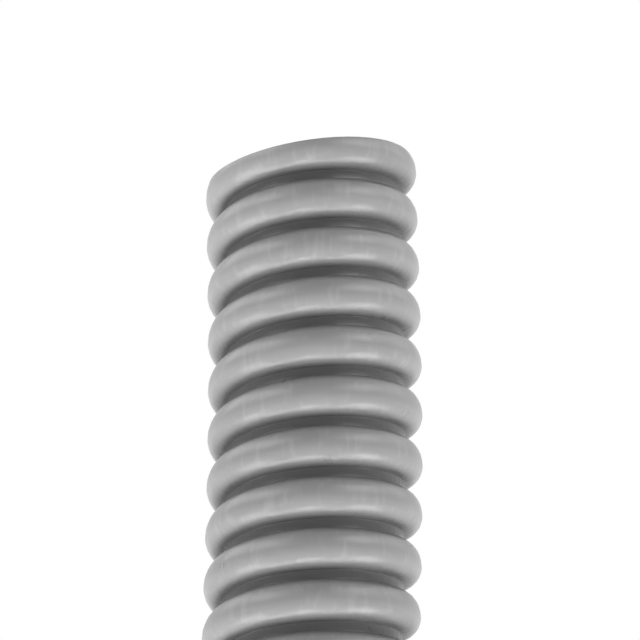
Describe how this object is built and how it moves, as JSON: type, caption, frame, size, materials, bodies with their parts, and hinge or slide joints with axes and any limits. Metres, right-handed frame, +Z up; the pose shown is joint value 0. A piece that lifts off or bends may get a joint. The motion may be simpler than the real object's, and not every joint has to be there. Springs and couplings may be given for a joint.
{
  "type": "convoluted ptfe tubing",
  "caption": "Length of flexible PTFE tubing whose thin wall is formed into a continuous helical rib, for carrying and protecting cables; one end square, the other trimmed at a slant.",
  "frame": {"origin": "on the tube's axis, in the plane of its square end, on which it stands", "axes": "+Z up along the tube's axis, towards the slanting trimmed end; -Y is the side facing the camera in the picture, and +X is to its right"},
  "size_m": [0.032, 0.032, 0.3073],
  "materials": {
    "tube_wall": "grey PTFE with a low satin sheen"
  },
  "bodies": {
    "root": {"convoluted_tube": "tube_wall"}
  },
  "joints": []
}
